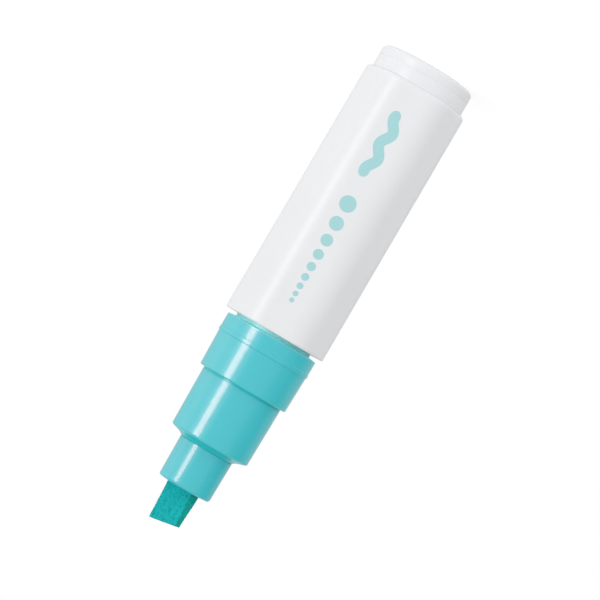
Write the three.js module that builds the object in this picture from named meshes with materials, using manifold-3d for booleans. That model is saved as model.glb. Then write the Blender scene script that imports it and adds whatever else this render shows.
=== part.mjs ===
// A broad-nib paint marker, standing on its tail with the nib up.
// Millimetres. +Z runs along the marker's axis from the tail to the nib, and z = 0 is the flat tail end.
// One flat of the hexagonal barrel faces -Y. The paint is sealed in the barrel by a sprung valve: pressing the
// nib pushes the valve stem back off its seat, and paint flows forward to the nib.

import * as THREE from 'three';
import { mergeVertices } from 'three/addons/utils/BufferGeometryUtils.js';
import Module from 'manifold-3d';

const wasm = await Module();
wasm.setup();

// Clearances between pieces
const PRESS_GAP = 0.1; // round pieces pushed into each other
const SLIDE_GAP = 0.2; // pieces that slide in each other
const FELT_GAP = 0.15; // felt nib in its slot and socket
const SEAT_GAP = 0.05; // faces that close on each other at rest

// Barrel: a rounded hexagon outside, round inside
const BARREL_ACROSS_FLATS = 25.5;
const BARREL_CORNER_RADIUS = 7.5;
const BARREL_LENGTH = 68.8;
const BARREL_TAIL_FILLET = 1.0;
const BARREL_MOUTH_FILLET = 0.6;
const MOUTH_DEPTH = 8;
const MOUTH_STEP = 0.45; // how much wider the mouth's bore is than the reservoir

// Tail stud: the lower half is the barrel's neck, the upper half is the plug
const STUD_RADIUS = 12.42;
const STUD_NECK_LENGTH = 3.2;
const STUD_SEAM_DEPTH = 0.12;
const PLUG_BAND_LENGTH = 2.8;
const PLUG_END_FILLET = 1.15;
const PLUG_FLOOR = 1.8;
const PLUG_SPIGOT_LENGTH = 5.5;
const PLUG_WALL = 1.3;

// Front section: spigot, collar and neck
const SPIGOT_RADIUS = 10.25;
const SPIGOT_WALL = 1.25;
const COLLAR_GAP = 1.05; // between the barrel's mouth and the collar
const COLLAR_LENGTH = 14.25;
const COLLAR_REAR_RADIUS = 12.29;
const COLLAR_MID_RADIUS = 12.18;
const COLLAR_FRONT_RADIUS = 11.94;
const COLLAR_REAR_FILLET = 0.3;
const COLLAR_FRONT_FILLET = 0.45;
const BEAD_OFFSET = 4.15; // from the collar's rear face
const BEAD_HEIGHT = 0.1;
const BEAD_WIDTH = 0.9;
const NECK_LENGTH = 16.05;
const NECK_REAR_RADIUS = 10.77;
const NECK_FRONT_RADIUS = 10.55;
const NECK_FRONT_FILLET = 0.45;
const NECK_CONE_LENGTH = 0.85;
const NECK_FACE_LAND = 0.11; // flat ring round the holder's hole
const NECK_END_WALL = 1.9;
const NECK_WALL = 1.7;
const SLEEVE_WALL = 1.4;
const SLEEVE_LENGTH = 6.8;
const SLEEVE_LIP = 1;

// Nib holder
const HOLDER_SPIGOT_WALL = 0.92;
const HOLDER_HEAD_STEP = 0.78; // how far the head stands out from the spigot
const HOLDER_GROOVE_LENGTH = 0.43; // between the neck's face and the head
const HOLDER_GROOVE_DEPTH = 0.15;
const HOLDER_TAPER = 0.14;
const HOLDER_LENGTH = 10.92;
const HOLDER_FRONT_FILLET = 0.65;
const HOLDER_REAR_FILLET = 0.1;
const VENT_RADIUS = 0.5;
const VENT_SPACING = 4;

// Felt nib
const NIB_WIDTH = 8;
const NIB_THICKNESS = 4;
const NIB_TIP_THICKNESS = 2.6;
const NIB_LENGTH = 29.1;
const NIB_EXPOSED = 10.3; // from the holder's front face to the long corner of the tip
const NIB_SKEW = THREE.MathUtils.degToRad(10.5);
const NIB_EDGE_RADIUS = 0.35;
const NIB_TURN = THREE.MathUtils.degToRad(30); // turns its broad faces towards corners of the barrel
const NIB_TRAVEL = 2; // how far the nib presses in

// Valve stem: a socket for the nib, a rod, the valve disc and a tail pin that guides the spring
const SOCKET_WALL = 0.65;
const SOCKET_DEPTH = 5;
const SOCKET_FLOOR = 1.4;
const SOCKET_FRONT_GAP = 0.55; // from the socket's rim to the step where the holder's slot begins
const ROD_RADIUS = 1.6;
const DISC_RADIUS = 4.1;
const DISC_LENGTH = 1.7;
const STEM_PIN_RADIUS = 1.3;

// Valve body, seat and cage
const FLANGE_LENGTH = 1.4;
const VALVE_SKIRT_LENGTH = 12.4; // ahead of the flange
const VALVE_REAR_SKIRT_LENGTH = 5;
const VALVE_WALL = 1.25;
const PARTITION = 2;
const PARTITION_HOLE_RADIUS = 2.7;
const SEAT_RING_LENGTH = 1.4;
const SEAT_POCKET_WALL = 1.1;
const SEAT_POCKET_GAP = 0.35; // between the pocket's wall and the cage
const SEAL_RADIUS = 0.75; // of the rubber ring's round section
const CAGE_WALL = 1;
const CAGE_FLOOR = 1.6;
const CAGE_HOLES = 6;
const CAGE_HOLE_RADIUS = 1.3;

// Valve spring
const SPRING_WIRE_RADIUS = 0.3;
const SPRING_MEAN_RADIUS = 2.2;
const SPRING_TURNS = 5;
const SPRING_PRESSED_LENGTH = 5.15;

// Mixing balls, side by side in the reservoir: they come out a quarter of an inch across
const BALL_WALL_GAP = 0.175;
const BALL_SPACING = 2.25; // between the two

// Stations along the axis, worked out from the sizes above
const barrelRear = PLUG_BAND_LENGTH;
const shoulder = barrelRear + STUD_NECK_LENGTH;
const barrelMouth = shoulder + BARREL_LENGTH;
const barrelStep = barrelMouth - MOUTH_DEPTH;
const collarRear = barrelMouth + COLLAR_GAP;
const collarFront = collarRear + COLLAR_LENGTH;
const neckCorner = collarFront + NECK_LENGTH;
const neckFace = neckCorner + NECK_CONE_LENGTH;
const holderRear = neckFace + HOLDER_GROOVE_LENGTH;
const holderFront = holderRear + HOLDER_LENGTH;
const nibTip = holderFront + NIB_EXPOSED;
const nibRear = nibTip - NIB_LENGTH;

const flangeRear = barrelStep + SEAT_GAP;
const flangeFront = flangeRear + FLANGE_LENGTH;
const spigotRear = flangeFront + SEAT_GAP;
const partitionFront = flangeFront + VALVE_SKIRT_LENGTH;
const seatFront = partitionFront - PARTITION - SEAT_GAP;
const seatRear = seatFront - SEAT_RING_LENGTH;
const discFront = seatRear - SEAT_GAP;
const discRear = discFront - DISC_LENGTH;
const cageFront = partitionFront - PARTITION - SEAT_GAP;
const springFront = discRear - SEAT_GAP;
const springRear = springFront - SPRING_PRESSED_LENGTH - NIB_TRAVEL;
const cageRear = springRear - SEAT_GAP - CAGE_FLOOR;

const sleeveRear = neckFace - NECK_CONE_LENGTH - NECK_END_WALL - SLEEVE_LENGTH;
const holderSpigotRear = sleeveRear + SLEEVE_LIP + SEAT_GAP;
const socketRim = nibRear + SOCKET_DEPTH;
const slotRear = socketRim + SOCKET_FRONT_GAP;

// Radii that follow from a neighbour's
const mouthRadius = SPIGOT_RADIUS + PRESS_GAP;
const reservoirRadius = mouthRadius - MOUTH_STEP;
const plugSpigotRadius = reservoirRadius - PRESS_GAP;
const spigotBoreRadius = SPIGOT_RADIUS - SPIGOT_WALL;
const neckBoreRadius = NECK_FRONT_RADIUS - NECK_WALL;
const skirtRadius = spigotBoreRadius - PRESS_GAP;
const rearSkirtRadius = reservoirRadius - PRESS_GAP;
const valveBoreRadius = skirtRadius - VALVE_WALL;
const cageRadius = valveBoreRadius - PRESS_GAP;
const cageBoreRadius = cageRadius - CAGE_WALL;
const seatPocketRim = cageBoreRadius - SEAT_POCKET_GAP;
const seatPocketRadius = seatPocketRim - SEAT_POCKET_WALL;
const seatRingRadius = seatPocketRadius - PRESS_GAP;
const ballRadius = (valveBoreRadius - BALL_WALL_GAP) / 2 - BALL_SPACING / 4;
const ballOffset = ballRadius + BALL_SPACING / 2;
const slotWidth = NIB_WIDTH + 2 * FELT_GAP;
const slotThickness = NIB_THICKNESS + 2 * FELT_GAP;
const socketBoreRadius = Math.hypot(NIB_WIDTH, NIB_THICKNESS) / 2 + FELT_GAP;
const socketRadius = socketBoreRadius + SOCKET_WALL;
const holderBoreRadius = socketRadius + SLIDE_GAP;
const holderSpigotRadius = holderBoreRadius + HOLDER_SPIGOT_WALL;
const holderRearRadius = holderSpigotRadius + HOLDER_HEAD_STEP;
const holderGrooveRadius = holderRearRadius - HOLDER_GROOVE_DEPTH;
const holderFrontRadius = holderRearRadius - HOLDER_TAPER;
const sleeveRadius = holderSpigotRadius + PRESS_GAP;

// Facets round a circle: outer pieces are finer than hidden ones
const FINE = 72;
const MEDIUM = 48;
const COARSE = 24;
const ARC_STEPS = 3; // per fillet
const FLAT_STEPS = 2; // per flat of the barrel

const WHITE = { color: 0xebecef, roughness: 0.28, metalness: 0 };
const TURQUOISE = { color: 0x5bc6d0, roughness: 0.25, metalness: 0 };
const FELT = { color: 0x1cb2b4, roughness: 0.95, metalness: 0 };
const NATURAL = { color: 0xe4e6e2, roughness: 0.4, metalness: 0 };
const RUBBER = { color: 0x2b2d30, roughness: 0.8, metalness: 0 };
const STEEL = { color: 0xc3c6ca, roughness: 0.2, metalness: 1 };

function piece(name, geometry, finish) {
  const mesh = new THREE.Mesh(geometry, new THREE.MeshStandardMaterial(finish));
  mesh.name = name;
  return mesh;
}

// A quarter round as profile points, from angle a to angle b in degrees about its centre
function arc(radius, z, fillet, a, b) {
  const points = [];
  for (let i = 0; i <= ARC_STEPS; i++) {
    const angle = THREE.MathUtils.degToRad(a + ((b - a) * i) / ARC_STEPS);
    points.push([radius + fillet * Math.cos(angle), z + fillet * Math.sin(angle)]);
  }
  return points;
}

// A solid of revolution about Z from [radius, z] points that run with the material on their left
function turned(points, facets) {
  const outline = points.map(([radius, z]) => new THREE.Vector2(radius, z));
  const first = outline[0];
  const last = outline[outline.length - 1];
  if (first.x > 0 || last.x > 0) outline.push(first.clone());
  const lathe = new THREE.LatheGeometry(outline, facets);
  lathe.rotateX(Math.PI / 2);
  return welded(lathe);
}

// The same geometry with only positions, its shared points merged and its empty triangles dropped
function welded(geometry) {
  const bare = geometry.clone();
  bare.deleteAttribute('normal');
  bare.deleteAttribute('uv');
  const merged = mergeVertices(bare, 1e-5);
  const index = merged.index.array;
  const kept = [];
  for (let i = 0; i < index.length; i += 3) {
    const [a, b, c] = [index[i], index[i + 1], index[i + 2]];
    if (a !== b && b !== c && c !== a) kept.push(a, b, c);
  }
  merged.setIndex(kept);
  merged.computeVertexNormals();
  return merged;
}

// Skin over rings of points, each ring listed anticlockwise seen from +Z, with the rings from the rear forward on
// the outside; closed: the last ring joins the first, as in a tube, and otherwise both ends are capped
function skinned(rings, closed) {
  const count = rings[0].length;
  const positions = rings.flat(2);
  const index = [];
  const links = closed ? rings.length : rings.length - 1;
  for (let r = 0; r < links; r++) {
    const here = r * count;
    const next = ((r + 1) % rings.length) * count;
    for (let i = 0; i < count; i++) {
      const j = (i + 1) % count;
      index.push(here + i, here + j, next + j, here + i, next + j, next + i);
    }
  }
  if (!closed) {
    const top = (rings.length - 1) * count;
    for (let i = 1; i < count - 1; i++) {
      index.push(0, i + 1, i);
      index.push(top, top + i, top + i + 1);
    }
  }
  const geometry = new THREE.BufferGeometry();
  geometry.setAttribute('position', new THREE.Float32BufferAttribute(positions, 3));
  geometry.setIndex(index);
  return welded(geometry);
}

function solid(geometry) {
  return new wasm.Manifold(
    new wasm.Mesh({
      numProp: 3,
      vertProperties: new Float32Array(geometry.attributes.position.array),
      triVerts: new Uint32Array(geometry.index.array),
    }),
  );
}

function cut(geometry, tools) {
  let result = solid(geometry);
  for (const tool of tools) result = result.subtract(solid(tool));
  const mesh = result.getMesh();
  const out = new THREE.BufferGeometry();
  out.setAttribute('position', new THREE.Float32BufferAttribute(mesh.vertProperties, 3));
  out.setIndex(Array.from(mesh.triVerts));
  return welded(out);
}

// A rod of the given radius along Z, as a cutting tool
function drill(radius, x, y, rear, front, facets) {
  const rod = new THREE.CylinderGeometry(radius, radius, front - rear, facets);
  rod.rotateX(Math.PI / 2);
  rod.translate(x, y, (rear + front) / 2);
  return welded(rod);
}

// Steps of the arc at each corner of the barrel: a sixth of the facets go to a corner and the flat after it
const CORNER_STEPS = FINE / 6 - FLAT_STEPS;

// A circle whose points lie abreast of the hexagon's
function circleRing(radius, z) {
  const ring = [];
  for (let i = 0; i < FINE; i++) {
    const angle = (2 * Math.PI * (i - CORNER_STEPS / 2)) / FINE;
    ring.push([radius * Math.cos(angle), radius * Math.sin(angle), z]);
  }
  return ring;
}

// A hexagon with rounded corners, from the corner on +X
function hexagonRing(apothem, cornerRadius, z) {
  const ring = [];
  const reach = (apothem - cornerRadius) / Math.cos(Math.PI / 6);
  const halfFlat = (apothem - cornerRadius) * Math.tan(Math.PI / 6);
  for (let side = 0; side < 6; side++) {
    const corner = (side * Math.PI) / 3;
    for (let i = 0; i <= CORNER_STEPS; i++) {
      const angle = corner - Math.PI / 6 + ((Math.PI / 3) * i) / CORNER_STEPS;
      const x = reach * Math.cos(corner) + cornerRadius * Math.cos(angle);
      const y = reach * Math.sin(corner) + cornerRadius * Math.sin(angle);
      ring.push([x, y, z]);
    }
    const flat = corner + Math.PI / 6;
    for (let i = 1; i < FLAT_STEPS; i++) {
      const along = halfFlat * ((2 * i) / FLAT_STEPS - 1);
      const x = apothem * Math.cos(flat) - along * Math.sin(flat);
      const y = apothem * Math.sin(flat) + along * Math.cos(flat);
      ring.push([x, y, z]);
    }
  }
  return ring;
}

// A rectangle with rounded corners whose height above z follows the slope along its width
function rectangleRing(width, thickness, radius, z, slope = 0) {
  const ring = [];
  const corners = [
    [1, 1, 0],
    [-1, 1, 90],
    [-1, -1, 180],
    [1, -1, 270],
  ];
  for (const [sx, sy, start] of corners) {
    for (let i = 0; i <= ARC_STEPS; i++) {
      const angle = THREE.MathUtils.degToRad(start + (90 * i) / ARC_STEPS);
      const x = sx * (width / 2 - radius) + radius * Math.cos(angle);
      const y = sy * (thickness / 2 - radius) + radius * Math.sin(angle);
      ring.push([x, y, z + x * slope]);
    }
  }
  return ring;
}

function barrel() {
  const apothem = BARREL_ACROSS_FLATS / 2;
  const rings = [circleRing(reservoirRadius, barrelRear)];
  rings.push(circleRing(STUD_RADIUS - STUD_SEAM_DEPTH, barrelRear));
  rings.push(circleRing(STUD_RADIUS, barrelRear + 2 * STUD_SEAM_DEPTH));
  rings.push(circleRing(STUD_RADIUS, shoulder));
  for (const [inset, z] of arc(0, shoulder + BARREL_TAIL_FILLET, BARREL_TAIL_FILLET, 270, 360)) {
    const depth = BARREL_TAIL_FILLET - inset;
    rings.push(hexagonRing(apothem - depth, BARREL_CORNER_RADIUS - depth, z));
  }
  for (const [inset, z] of arc(0, barrelMouth - BARREL_MOUTH_FILLET, BARREL_MOUTH_FILLET, 0, 90)) {
    const depth = BARREL_MOUTH_FILLET - inset;
    rings.push(hexagonRing(apothem - depth, BARREL_CORNER_RADIUS - depth, z));
  }
  rings.push(circleRing(mouthRadius, barrelMouth));
  rings.push(circleRing(mouthRadius, barrelStep));
  rings.push(circleRing(reservoirRadius, barrelStep));
  return piece('barrel', skinned(rings, true), WHITE);
}

function tailPlug() {
  const spigotFront = barrelRear + PLUG_SPIGOT_LENGTH;
  const bandFront = barrelRear - SEAT_GAP;
  const profile = [
    [0, 0],
    ...arc(STUD_RADIUS - PLUG_END_FILLET, PLUG_END_FILLET, PLUG_END_FILLET, 270, 360),
    [STUD_RADIUS, bandFront - 2 * STUD_SEAM_DEPTH],
    [STUD_RADIUS - STUD_SEAM_DEPTH, bandFront],
    [plugSpigotRadius, bandFront],
    [plugSpigotRadius, spigotFront],
    [plugSpigotRadius - PLUG_WALL, spigotFront],
    [plugSpigotRadius - PLUG_WALL, PLUG_FLOOR],
    [0, PLUG_FLOOR],
  ];
  return piece('tail_plug', turned(profile, FINE), WHITE);
}

function frontSection() {
  const bead = collarRear + BEAD_OFFSET;
  const rearRadius = COLLAR_REAR_RADIUS;
  const collarFillet = COLLAR_FRONT_RADIUS - COLLAR_FRONT_FILLET;
  const endWall = neckCorner - NECK_END_WALL;
  const boreStep = partitionFront + SEAT_GAP;
  const profile = [
    [spigotBoreRadius, spigotRear],
    [SPIGOT_RADIUS, spigotRear],
    [SPIGOT_RADIUS, collarRear],
    ...arc(rearRadius - COLLAR_REAR_FILLET, collarRear + COLLAR_REAR_FILLET, COLLAR_REAR_FILLET, 270, 360),
    [rearRadius, bead - BEAD_WIDTH / 2],
    [rearRadius + BEAD_HEIGHT, bead],
    [COLLAR_MID_RADIUS, bead + BEAD_WIDTH / 2],
    ...arc(collarFillet, collarFront - COLLAR_FRONT_FILLET, COLLAR_FRONT_FILLET, 0, 90),
    [NECK_REAR_RADIUS, collarFront],
    ...arc(NECK_FRONT_RADIUS - NECK_FRONT_FILLET, neckCorner - NECK_FRONT_FILLET, NECK_FRONT_FILLET, 0, 75),
    [sleeveRadius + NECK_FACE_LAND, neckFace],
    [sleeveRadius, neckFace],
    [sleeveRadius, sleeveRear + SLEEVE_LIP],
    [holderBoreRadius, sleeveRear + SLEEVE_LIP],
    [holderBoreRadius, sleeveRear],
    [sleeveRadius + SLEEVE_WALL, sleeveRear],
    [sleeveRadius + SLEEVE_WALL, endWall],
    [neckBoreRadius, endWall],
    [neckBoreRadius, boreStep],
    [spigotBoreRadius, boreStep],
  ];
  return piece('front_section', turned(profile, FINE), TURQUOISE);
}

function nibHolder() {
  const rear = holderRearRadius - HOLDER_REAR_FILLET;
  const front = holderFrontRadius - HOLDER_FRONT_FILLET;
  const profile = [
    [holderBoreRadius, holderSpigotRear],
    [holderSpigotRadius, holderSpigotRear],
    [holderSpigotRadius, neckFace + SEAT_GAP],
    [holderGrooveRadius, neckFace + SEAT_GAP],
    [holderGrooveRadius, holderRear],
    ...arc(rear, holderRear + HOLDER_REAR_FILLET, HOLDER_REAR_FILLET, 270, 360),
    ...arc(front, holderFront - HOLDER_FRONT_FILLET, HOLDER_FRONT_FILLET, 0, 90),
    [0, holderFront],
    [0, slotRear],
    [holderBoreRadius, slotRear],
  ];
  const slot = skinned(
    [
      rectangleRing(slotWidth, slotThickness, NIB_EDGE_RADIUS, slotRear - 1),
      rectangleRing(slotWidth, slotThickness, NIB_EDGE_RADIUS, holderFront + 1),
    ],
    false,
  );
  const vents = [];
  for (const x of [-VENT_SPACING / 2, VENT_SPACING / 2]) {
    for (const y of [-slotThickness / 2, slotThickness / 2]) {
      vents.push(drill(VENT_RADIUS, x, y, slotRear - 1, holderFront + 1, 12));
    }
  }
  return piece('nib_holder', cut(turned(profile, FINE), [slot, ...vents]), TURQUOISE);
}

function nib() {
  const slope = Math.tan(NIB_SKEW);
  const endMiddle = nibTip - (NIB_WIDTH / 2) * slope;
  const rings = [
    rectangleRing(NIB_WIDTH, NIB_THICKNESS, NIB_EDGE_RADIUS, nibRear),
    rectangleRing(NIB_WIDTH, NIB_THICKNESS, NIB_EDGE_RADIUS, holderFront),
    rectangleRing(NIB_WIDTH, NIB_TIP_THICKNESS, NIB_EDGE_RADIUS, endMiddle, slope),
  ];
  return piece('nib', skinned(rings, false), FELT);
}

function valveStem() {
  const socketFloor = nibRear - SEAT_GAP;
  const socketRear = socketFloor - SOCKET_FLOOR;
  const profile = [
    [0, cageRear],
    [STEM_PIN_RADIUS, cageRear],
    [STEM_PIN_RADIUS, discRear],
    [DISC_RADIUS, discRear],
    [DISC_RADIUS, discFront],
    [ROD_RADIUS, discFront],
    [ROD_RADIUS, socketRear],
    [socketRadius, socketRear],
    [socketRadius, socketRim],
    [0, socketRim],
  ];
  const pocket = skinned(
    [
      rectangleRing(slotWidth, slotThickness, NIB_EDGE_RADIUS, socketFloor),
      rectangleRing(slotWidth, slotThickness, NIB_EDGE_RADIUS, socketRim + 1),
    ],
    false,
  );
  const feeds = [];
  for (const y of [-1, 1]) {
    const offset = y * (slotThickness / 2 + VENT_RADIUS);
    feeds.push(drill(2 * VENT_RADIUS, 0, offset, socketRear - 1, socketRim + 1, 12));
  }
  return piece('valve_stem', cut(turned(profile, COARSE), [pocket, ...feeds]), NATURAL);
}

function valveBody() {
  const rear = flangeRear - VALVE_REAR_SKIRT_LENGTH;
  const groove = (rear + flangeRear) / 2;
  const halfGroove = SEAL_RADIUS + SLIDE_GAP;
  const grooveRadius = rearSkirtRadius - 2 * SEAL_RADIUS - SEAT_GAP;
  const profile = [
    [valveBoreRadius, rear],
    [rearSkirtRadius, rear],
    [rearSkirtRadius, groove - halfGroove],
    [grooveRadius, groove - halfGroove],
    [grooveRadius, groove + halfGroove],
    [rearSkirtRadius, groove + halfGroove],
    [rearSkirtRadius, flangeRear],
    [SPIGOT_RADIUS, flangeRear],
    [SPIGOT_RADIUS, flangeFront],
    [skirtRadius, flangeFront],
    [skirtRadius, partitionFront],
    [PARTITION_HOLE_RADIUS, partitionFront],
    [PARTITION_HOLE_RADIUS, partitionFront - PARTITION],
    [seatPocketRadius, partitionFront - PARTITION],
    [seatPocketRadius, seatRear],
    [seatPocketRim, seatRear],
    [seatPocketRim, partitionFront - PARTITION],
    [valveBoreRadius, partitionFront - PARTITION],
  ];
  return piece('valve_body', turned(profile, MEDIUM), NATURAL);
}

function valveBodySeal() {
  const middle = flangeRear - VALVE_REAR_SKIRT_LENGTH / 2;
  const ring = new THREE.TorusGeometry(rearSkirtRadius - SEAL_RADIUS, SEAL_RADIUS, 6, MEDIUM);
  ring.translate(0, 0, middle);
  return piece('valve_body_seal', welded(ring), RUBBER);
}

function valveSeat() {
  const profile = [
    [PARTITION_HOLE_RADIUS, seatRear],
    [seatRingRadius, seatRear],
    [seatRingRadius, seatFront],
    [PARTITION_HOLE_RADIUS, seatFront],
  ];
  return piece('valve_seat', turned(profile, COARSE), RUBBER);
}

function valveCage() {
  const guide = STEM_PIN_RADIUS + SLIDE_GAP;
  const profile = [
    [guide, cageRear],
    [cageRadius, cageRear],
    [cageRadius, cageFront],
    [cageBoreRadius, cageFront],
    [cageBoreRadius, cageRear + CAGE_FLOOR],
    [guide, cageRear + CAGE_FLOOR],
  ];
  const middle = (SPRING_MEAN_RADIUS + SPRING_WIRE_RADIUS + cageBoreRadius) / 2;
  const holes = [];
  for (let i = 0; i < CAGE_HOLES; i++) {
    const angle = (2 * Math.PI * i) / CAGE_HOLES;
    const x = middle * Math.cos(angle);
    const y = middle * Math.sin(angle);
    holes.push(drill(CAGE_HOLE_RADIUS, x, y, cageRear - 1, cageRear + CAGE_FLOOR + 1, 12));
  }
  return piece('valve_cage', cut(turned(profile, COARSE), holes), NATURAL);
}

class Helix extends THREE.Curve {
  getPoint(t, target = new THREE.Vector3()) {
    const angle = 2 * Math.PI * SPRING_TURNS * t;
    const rear = springRear + SPRING_WIRE_RADIUS;
    const front = springFront - SPRING_WIRE_RADIUS;
    const x = SPRING_MEAN_RADIUS * Math.cos(angle);
    const y = SPRING_MEAN_RADIUS * Math.sin(angle);
    return target.set(x, y, rear + (front - rear) * t);
  }
}

function valveSpring() {
  const section = new THREE.Shape();
  section.absarc(0, 0, SPRING_WIRE_RADIUS, 0, 2 * Math.PI);
  const wire = new THREE.ExtrudeGeometry(section, {
    extrudePath: new Helix(),
    steps: SPRING_TURNS * 12,
    curveSegments: 3,
  });
  return piece('valve_spring', welded(wire), STEEL);
}

function mixingBall(name, x) {
  const ball = new THREE.SphereGeometry(ballRadius, 16, 10);
  ball.rotateX(Math.PI / 2);
  ball.translate(x, 0, PLUG_FLOOR + SEAT_GAP + ballRadius);
  return piece(name, welded(ball), STEEL);
}

const marker = new THREE.Group();
marker.add(barrel(), tailPlug(), frontSection());
marker.add(valveBody(), valveBodySeal(), valveSeat(), valveCage(), valveSpring());
marker.add(mixingBall('mixing_ball_1', -ballOffset), mixingBall('mixing_ball_2', ballOffset));

// The nib, its socket and its slot are turned together about the axis
const mouth = new THREE.Group();
mouth.add(nibHolder(), nib(), valveStem());
mouth.rotation.z = NIB_TURN;
marker.add(mouth);

export default marker;
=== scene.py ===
"""Looks for a broad-nib paint marker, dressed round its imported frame.

Shapes are worked out in millimetres and made in metres. The marker stands on its tail with its nib
up, and the camera hangs it nib down, as it was photographed.
"""

import math
import random

import bmesh
import bpy
from mathutils import Matrix, Vector, noise

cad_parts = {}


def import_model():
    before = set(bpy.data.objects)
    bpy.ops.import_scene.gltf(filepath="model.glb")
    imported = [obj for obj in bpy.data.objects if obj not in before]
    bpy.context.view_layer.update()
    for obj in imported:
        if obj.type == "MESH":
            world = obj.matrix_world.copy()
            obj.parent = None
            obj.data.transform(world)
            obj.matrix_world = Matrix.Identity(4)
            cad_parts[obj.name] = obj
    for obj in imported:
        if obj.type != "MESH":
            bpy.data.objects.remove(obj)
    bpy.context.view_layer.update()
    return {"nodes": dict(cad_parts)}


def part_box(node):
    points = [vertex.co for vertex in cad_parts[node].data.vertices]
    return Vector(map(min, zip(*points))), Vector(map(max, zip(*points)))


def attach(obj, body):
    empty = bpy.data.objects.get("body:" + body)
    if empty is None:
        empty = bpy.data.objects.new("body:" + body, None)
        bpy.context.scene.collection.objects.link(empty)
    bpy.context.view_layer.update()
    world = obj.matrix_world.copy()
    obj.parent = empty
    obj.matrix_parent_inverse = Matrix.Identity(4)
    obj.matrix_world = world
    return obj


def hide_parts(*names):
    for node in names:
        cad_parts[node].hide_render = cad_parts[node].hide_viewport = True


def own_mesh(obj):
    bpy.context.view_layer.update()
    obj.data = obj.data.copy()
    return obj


MM = 0.001

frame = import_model()


def lowest(node):
    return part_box(node)[0] / MM


def highest(node):
    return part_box(node)[1] / MM


# Stations along the axis and radii that the frame gives
PLUG_FRONT = highest("tail_plug").z
STUD_RADIUS = highest("tail_plug").x
BARREL_REAR = lowest("barrel").z
BARREL_MOUTH = highest("barrel").z
BARREL_APOTHEM = highest("barrel").y
SPIGOT_REAR = lowest("front_section").z
NECK_FACE = highest("front_section").z
HOLDER_SPIGOT_REAR = lowest("nib_holder").z
HOLDER_FRONT = highest("nib_holder").z
HOLDER_RADIUS = highest("nib_holder").x
NIB_REAR = lowest("nib").z
NIB_TIP = highest("nib").z
SPRING_REAR = lowest("valve_spring").z
SPRING_FRONT = highest("valve_spring").z

# Barrel
BARREL_STUD_LENGTH = 3.2
SHOULDER = BARREL_REAR + BARREL_STUD_LENGTH
CORNER_REACH = highest("barrel").x
CORNER_RADIUS = 7.5
TAIL_FILLET = 1.0
MOUTH_FILLET = 0.4
MOUTH_CHAMFER = 0.15
MOUTH_BORE = 10.35
MOUTH_DEPTH = 8
MOUTH_STEP = BARREL_MOUTH - MOUTH_DEPTH
RESERVOIR_RADIUS = 9.9
SEAM_DEPTH = 0.018
SEAM_STEPS = 4
RIM = 0.3  # how far the duller finish and the painted shade of the edges reach

# Tail plug
PLUG_FILLET = 1.15
PLUG_FLOOR = 1.8
PLUG_SPIGOT_RADIUS = 9.8
PLUG_WALL = 1.3
PLUG_GAP = 0.01
AXIS_RADIUS = 0.4  # of the innermost ring at a closed end

# Front section
SPIGOT_RADIUS = 10.25
SPIGOT_BORE = 9.0
COLLAR_GAP = 1.05
COLLAR_LENGTH = 14.25
COLLAR_REAR = BARREL_MOUTH + COLLAR_GAP
COLLAR_FRONT = COLLAR_REAR + COLLAR_LENGTH
COLLAR_REAR_RADIUS = 12.29
COLLAR_MID_RADIUS = 12.18
COLLAR_FRONT_RADIUS = 11.94
COLLAR_REAR_FILLET = 0.16
COLLAR_FRONT_FILLET = 0.35
GAP_DEPTH = 0.6  # how far the paler band of painted light runs into the mouth
GAP_REAR = BARREL_MOUTH - GAP_DEPTH
LIP_LENGTH = 0.22
LIP_WIDTH = 0.25
EDGE_BAND = 0.42  # of the paler colour at the collar's rear edge, a painted reflection
BEAD_OFFSET = 4.15  # from the collar's rear; the two slopes are offsets from there
BEAD_HEIGHT = 0.09
BEAD_RISE = (-0.68, -0.53)
BEAD_FALL = (0.385, 0.53)
BEAD_STEPS = 10
NECK_GROOVE_LENGTH = 0.5
NECK_GROOVE_DEPTH = 0.06
NECK_CONE_LENGTH = 0.85
NECK_CORNER = NECK_FACE - NECK_CONE_LENGTH
NECK_REAR_RADIUS = 10.77
NECK_FRONT_RADIUS = 10.55
NECK_FILLET = 0.6
NECK_FILLET_END = 78  # degrees, where the cone goes on
NECK_CONE = (  # radius, offset from the neck's face
    (9.1, -0.56),
    (8.5, -0.38),
    (8.0, -0.18),
    (7.65, 0.0),
    (7.4, 0.16),
    (7.25, 0.32),
    (7.06, 0.34),
)
NECK_END_WALL = 1.9
NECK_WALL_END = NECK_CORNER - NECK_END_WALL
NECK_BORE = 8.85
NECK_BORE_REAR = 80.7
SEAT_GAP = 0.05
SLEEVE_LIP = 1.0
SLEEVE_REAR = HOLDER_SPIGOT_REAR - SLEEVE_LIP - SEAT_GAP
SLEEVE_RADIUS = 7.89
SLEEVE_BORE = 6.49

# Nib holder and its slot
HOLDER_BORE = 5.47
HOLDER_SPIGOT_RADIUS = 6.39
HOLDER_GROOVE_LENGTH = 0.43
HOLDER_SEAT = NECK_FACE + SEAT_GAP
HOLDER_REAR = NECK_FACE + HOLDER_GROOVE_LENGTH
HOLDER_GROOVE_DEPTH = 0.15
HOLDER_TAPER = 0.14
HOLDER_REAR_FILLET = 0.1
HOLDER_FRONT_FILLET = 0.65
HOLDER_FRONT_STEPS = 12
SLOT_REAR = 105.1
SLOT_WIDTH = 8.3
SLOT_THICKNESS = 4.3
SLOT_CORNER = 0.35
VENT_RADIUS = 0.5
VENT_OFFSET = 2.0
SLOT_STEPS = 120
SLOT_CORNER_STEPS = 16
SLOT_LEAST_STEP = 1e-3
MOUTH_TURN = math.radians(30)

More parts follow.
